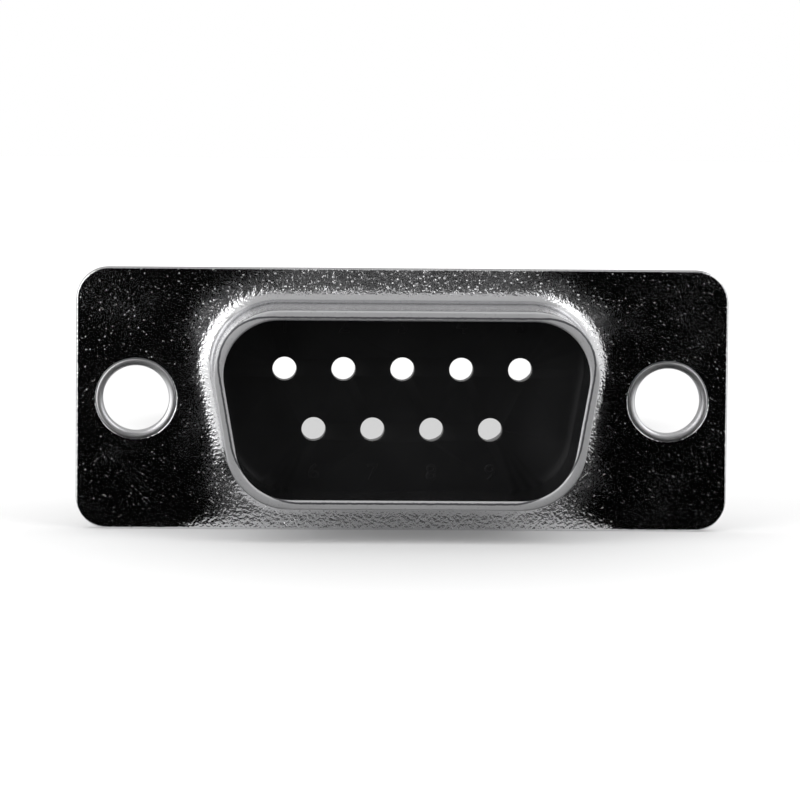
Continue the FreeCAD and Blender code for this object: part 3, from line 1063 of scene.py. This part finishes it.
@dataclass
class Insulators:
    """The two moulded halves that the contacts would sit in, and the raised contact numbers."""

    tube: DOutline = field(default_factory=DOutline)
    gap: float = 0.05
    cup_margin: float = 1.18
    sheet: float = 0.4
    cup_lip: float = 0.8
    root_radius: float = 0.8
    face: float = 0.2
    halves_meet: float = 2.0
    lip_front: float = 3.8
    rear_face: float = 5.0
    edge_round: float = 0.15
    pitch: float = 2.77
    row_spacing: float = 2.84
    contacts_per_row: tuple[int, int] = (5, 4)
    contact_radius: float = 0.565
    contact_depth: float = 1.1
    shoulder_radius: float = 0.74
    pocket_radius: float = 1.21
    pocket_depth: float = 1.5
    entry_radius: float = 0.9
    lead_in: float = 0.15
    hole_round: float = 0.04
    number_size: float = 1.08  # the font's, for figures 0.8 mm high
    number_rise: float = 0.03
    number_bevel: float = 0.012
    number_distance: float = 2.05
    corner_steps: int = 14
    hole_segments: int = 40

    def contacts(self) -> list[SectionPoint]:
        """The (x, z) of each contact in numbered order."""
        found = []
        for count, z in zip(self.contacts_per_row, (self.row_spacing / 2, -self.row_spacing / 2)):
            found += [((place - (count - 1) / 2) * self.pitch, z) for place in range(count)]
        return found

    def collar(self) -> float:
        """How far the collar stands outwards from the tube's inner wall."""
        return self.cup_margin - self.sheet - self.gap

    def moulded(
        self, name: str, section: Sequence[SectionPoint], hole: Sequence[SectionPoint]
    ) -> bpy.types.Object:
        """Build one half from its outer section and the section of its nine cavities."""
        work = PieceMesh()
        walls = [work.swept(self.tube.corners(), self.tube.radius, section, self.corner_steps)]
        walls += [work.bored(centre, hole, self.hole_segments) for centre in self.contacts()]
        work.capped(walls)
        return work.finished(name)

    def front(self) -> bpy.types.Object:
        """Build the front half, whose nose fills the root of the tube."""
        soft, collar = self.hole_round, self.collar()
        seat = self.root_radius + self.sheet
        middle, reach = (seat, -self.root_radius), seat + self.gap
        first = math.degrees(math.asin((self.face + soft + self.root_radius) / reach))
        last = math.degrees(math.acos((seat - collar) / reach))
        cove = section_arc(middle, reach, 180 - first, 180 - last, 6)
        nose = cove[0][0]
        section = [
            (nose - soft, self.face),
            (nose - soft * 0.3, self.face + soft * 0.3),
            *cove,
            (collar, self.halves_meet),
        ]
        step = self.face + self.contact_depth
        hole = [
            *section_arc((self.contact_radius + soft, self.face + soft), soft, -90, -180, 3),
            (self.contact_radius, step),
            (self.shoulder_radius, step),
            (self.shoulder_radius, self.halves_meet),
        ]
        return self.moulded("front_insulator_moulding", section, hole)

    def rear(self) -> bpy.types.Object:
        """Build the rear half with a clip pocket and an entry behind each contact hole."""
        collar, soft = self.collar(), self.edge_round
        boss = self.cup_margin - self.sheet - self.cup_lip - self.gap
        section = [
            (collar, self.halves_meet),
            *section_arc((collar - soft, self.lip_front - soft), soft, 0, 90, 5),
            (boss, self.lip_front),
            *section_arc((boss - soft, self.rear_face - soft), soft, 0, 90, 5),
        ]
        pocket_end = self.halves_meet + self.pocket_depth
        hole = [
            (self.pocket_radius, self.halves_meet),
            (self.pocket_radius, pocket_end),
            (self.entry_radius, pocket_end),
            (self.entry_radius, self.rear_face - self.lead_in),
            (self.entry_radius + self.lead_in, self.rear_face),
        ]
        return self.moulded("rear_insulator_moulding", section, hole)

    def numbers(self) -> bpy.types.Object:
        """Raise a number beside each contact: above the wide row and below the narrow one."""
        work = PieceMesh()
        for number, (x, z) in enumerate(self.contacts(), start=1):
            curve = bpy.data.curves.new("digit", "FONT")
            curve.body = str(number)
            curve.size = self.number_size
            curve.align_x = curve.align_y = "CENTER"
            curve.extrude = self.number_rise / 2
            curve.bevel_depth = self.number_bevel
            curve.bevel_resolution = 1
            text = new_object("digit", curve)
            bpy.context.view_layer.update()
            mesh = bpy.data.meshes.new_from_object(text)
            away = math.copysign(self.number_distance, z)
            mesh.transform(Matrix.Translation((x, self.face, z + away)) @ FACING_FRONT)
            work.bm.from_mesh(mesh)
            bpy.data.objects.remove(text)
            bpy.data.meshes.remove(mesh)
        return work.finished("contact_numbers")

    def make(self) -> None:
        """Build, dress and settle both halves and the numbers."""
        finish = MouldedPlastic().build()
        settle(self.front(), "front_insulator", finish)
        settle(self.rear(), "rear_insulator", finish)
        numbers = self.numbers()
        dress(numbers, finish)
        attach(numbers, BODY)
        LOG.info("%s lie on the front insulator", numbers.name)


@dataclass
class ContactClips:
    """The sprung clips in the cavities, which are the CAD's own nodes."""

    prefix: str = "contact_clip_"

    def make(self, nodes: dict[str, bpy.types.Object]) -> None:
        """Dress every clip.

        Args:
            nodes: The CAD nodes by name.
        """
        finish = SpringAlloy().build()
        for name, node in nodes.items():
            if name.startswith(self.prefix):
                dress(node, finish)
                LOG.info("%s keeps its CAD shape", name)


def toward(azimuth: float, elevation: float) -> Vector:
    """The unit vector towards a direction in degrees, where azimuth nought is in front."""
    turn, rise = math.radians(azimuth), math.radians(elevation)
    flat = math.cos(rise)
    return Vector((math.sin(turn) * flat, -math.cos(turn) * flat, math.sin(rise)))


def flat_card(name: str, corners: Sequence[Point]) -> bpy.types.Object:
    """A single flat card inside an outline of corners in metres."""
    bm = bmesh.new()
    bmesh.ops.contextual_create(bm, geom=[bm.verts.new(corner) for corner in corners])
    return mesh_object(name, bm)


def level(z: float, *places: Span) -> tuple[Point, ...]:
    """The corners of a level card at a height."""
    return tuple((x, y, z) for x, y in places)


def upright(first: Span, last: Span, low: float, high: float) -> tuple[Point, ...]:
    """The corners of an upright card that stands on the line between two places."""
    return (*first, low), (*last, low), (*last, high), (*first, high)


def seen_rays(sketch: NodeSketch) -> tuple[Socket, Socket]:
    """Masks of what the camera sees straight, and of that with mirrors and glass too."""
    path = sketch.add("ShaderNodeLightPath").outputs
    straight = path["Is Camera Ray"]
    seen = sketch.math("MAXIMUM", straight, path["Is Glossy Ray"])
    return straight, sketch.math("MAXIMUM", seen, path["Is Transmission Ray"])


@dataclass(frozen=True)
class SoftBox:
    """A rectangular studio lamp that faces the object."""

    name: str
    azimuth: float
    elevation: float
    distance: float
    size: Span
    radiance: float
    mirrored: bool

    def make(self) -> None:
        """Add the lamp."""
        back = toward(self.azimuth, self.elevation)
        light = bpy.data.lights.new(self.name, "AREA")
        light.shape = "RECTANGLE"
        light.size, light.size_y = self.size
        light.energy = self.radiance * math.pi * self.size[0] * self.size[1]
        lamp = new_object(self.name, light)
        lamp.location = back * self.distance
        lamp.rotation_mode = "QUATERNION"
        lamp.rotation_quaternion = back.to_track_quat("Z", "Y")
        lamp.visible_glossy = self.mirrored


@dataclass(frozen=True)
class MirrorCard:
    """A dull card that only the metal sees, so that it has something dark to mirror."""

    name: str
    corners: tuple[Point, ...]
    shade: float

    def make(self) -> None:
        """Add the card."""
        card = flat_card(self.name, self.corners)
        material, sketch, shader = new_material(f"{self.name} paper")
        colour = (self.shade, self.shade, self.shade, 1.0)
        surface = {"Base Color": colour, "Roughness": 1.0, "Specular IOR Level": 0.0}
        sketch.feed(shader, surface)
        dress(card, material)
        card.visible_camera = card.visible_diffuse = False
        card.visible_shadow = card.visible_transmission = False


@dataclass
class Studio:
    """A pale floor with painted shadows, soft lamps, dark cards and the camera."""

    floor_size: float = 0.9
    floor_z: float = -0.00615
    floor_colour: Colour = (0.88, 0.88, 0.88, 1.0)
    floor_roughness: float = 0.9
    floor_shine: float = 0.1
    floor_lift: Span = (0.09, 0.5)  # added where it is seen, near the object and far from it
    lift_reach: Span = (0.06, 0.35)  # m from the object, where the lift grows
    contact_shade: Point = (0.010, 0.032, 0.16)  # painted contact shadow on the floor: m where it is full and nought, share of black
    # stretches the painted contact shadow along x
    contact_squeeze: Point = (1.5, 1.0, 1.0)
    # a painted shadow behind the object: m where it is full and nought, share of black
    rear_shade: Point = (0.009, 0.018, 0.42)
    rear_spot: Point = (0.0018, 0.053, -0.00615)  # centre of a painted shadow spot, the floor seen through the lower holes
    surround: float = 0.75
    card_rise: float = 0.00002
    camera_distance: float = 0.2313
    camera_azimuth: float = -2.0
    camera_elevation: float = 5.0
    camera_roll: float = 0.53
    lens: float = 221.7
    sensor: float = 36.0
    clip: Span = (0.005, 20.0)
    aim: Point = (-0.00011, 0.0, 0.0)
    lamps: tuple[SoftBox, ...] = (
        SoftBox("overhead softbox", 0.0, 85.0, 0.5, (0.6, 0.5), 0.8, False),
        SoftBox("left softbox", -50.0, 16.0, 0.5, (0.44, 0.4), 1.8, True),
        SoftBox("upper right softbox", 48.0, 38.0, 0.5, (0.26, 0.26), 1.8, True),
    )

    def cards(self) -> tuple[MirrorCard, ...]:
        """The cards in front of the object, to its left, above it and behind it."""
        low = self.floor_z + self.card_rise
        left, right, far = -0.17, 0.22, -0.5
        near, notch = -0.0003, -0.006
        half, mouth = 0.0062, 0.0105  # the strip under the tube mirrors the floor between these
        black, grey = 0.001, 0.35
        left_floor = level(
            low, (left, far), (-0.018, near), (-mouth, near), (-half, notch), (-half, far)
        )
        middle_floor = level(low, (-half, far), (-half, notch), (half, notch), (half, far))
        right_floor = level(
            low, (half, far), (half, notch), (mouth, near), (0.022, near), (right, far)
        )
        rear_floor = level(low, (-0.4, 0.005), (0.4, 0.005), (0.4, 0.4), (-0.4, 0.4))
        ceiling = level(0.52, (-0.3, -0.45), (0.3, -0.45), (0.3, 0.4), (-0.3, 0.4))
        front = upright((left, far), (right, far), low, 0.62)
        side = upright((-0.5, -0.14), (-0.5, 0.4), low, 0.5)
        rear = upright((-0.3, 0.42), (0.3, 0.42), low, 0.25)
        return (
            MirrorCard("left_floor_card", left_floor, black),
            MirrorCard("middle_floor_card", middle_floor, black),
            MirrorCard("right_floor_card", right_floor, black),
            MirrorCard("front_card", front, black),
            MirrorCard("left_card", side, 0.5),
            MirrorCard("rear_floor_card", rear_floor, grey),
            MirrorCard("rear_card", rear, grey),
            MirrorCard("ceiling_card", ceiling, 0.6),
        )

    def floor(self) -> None:
        """A pale floor that is white to the camera where no shadow falls, with painted shadows
        darkening its colour for camera rays.
        """
        half = self.floor_size / 2
        corners = ((-half, -half), (half, -half), (half, half), (-half, half))
        floor = flat_card("studio_floor", level(self.floor_z, *corners))
        material, sketch, shader = new_material("pale studio floor")
        straight, seen = seen_rays(sketch)
        place = sketch.place()
        lift = sketch.ramp(sketch.away(place), *self.lift_reach, *self.floor_lift)
        # painted shadows darken the floor's colour for camera rays only: one round the object, one
        # behind it
        masks = []
        for distance, (full, end, share) in (
            (sketch.away(sketch.mapped(place, self.contact_squeeze)), self.contact_shade),
            (sketch.away(place, self.rear_spot), self.rear_shade),
        ):
            masks.append(sketch.ramp(distance, end, full, 0.0, share))
        shade = sketch.math("MULTIPLY", sketch.math("MAXIMUM", *masks), straight)
        surface = {
            "Base Color": sketch.mix_colour(shade, self.floor_colour, PAINTED_SHADOW_BLACK),
            "Roughness": self.floor_roughness,
            "Specular IOR Level": self.floor_shine,
            "Emission Color": WHITE,
            "Emission Strength": sketch.math("MULTIPLY", seen, lift),
        }
        sketch.feed(shader, surface)
        dress(floor, material)

    def world(self) -> None:
        """A soft even surround, white where it is seen or mirrored."""
        world = bpy.data.worlds.new("studio surround")
        bpy.context.scene.world = world
        world.use_nodes = True
        sketch = NodeSketch(world.node_tree)
        _, seen = seen_rays(sketch)
        strength = sketch.mix(seen, self.surround, 1.0)
        background = world.node_tree.nodes["Background"]
        sketch.feed(background, {"Color": WHITE, "Strength": strength})

    def camera(self) -> None:
        """The camera at the photograph's place."""
        back = toward(self.camera_azimuth, self.camera_elevation)
        data = bpy.data.cameras.new("camera")
        data.lens, data.sensor_width = self.lens, self.sensor
        data.clip_start, data.clip_end = self.clip
        camera = new_object("camera", data)
        camera.location = Vector(self.aim) + back * self.camera_distance
        camera.rotation_mode = "QUATERNION"
        roll = Matrix.Rotation(math.radians(self.camera_roll), 4, "Z").to_quaternion()
        camera.rotation_quaternion = (-back).to_track_quat("-Z", "Y") @ roll
        bpy.context.scene.camera = camera

    def make(self) -> None:
        """Set up the floor, cards, lamps, surround and camera."""
        self.floor()
        for card in self.cards():
            card.make()
        for lamp in self.lamps:
            lamp.make()
        self.world()
        self.camera()
        bpy.context.scene.view_settings.view_transform = "Standard"
        LOG.info("studio: %d lamps", len(self.lamps))


def main() -> None:
    logging.basicConfig(level=logging.INFO, format="%(name)s: %(message)s")
    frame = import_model()
    Shells().make()
    Rivets().make()
    Insulators().make()
    ContactClips().make(frame["nodes"])
    Studio().make()
    bpy.context.view_layer.update()


if __name__ == "__main__":
    main()
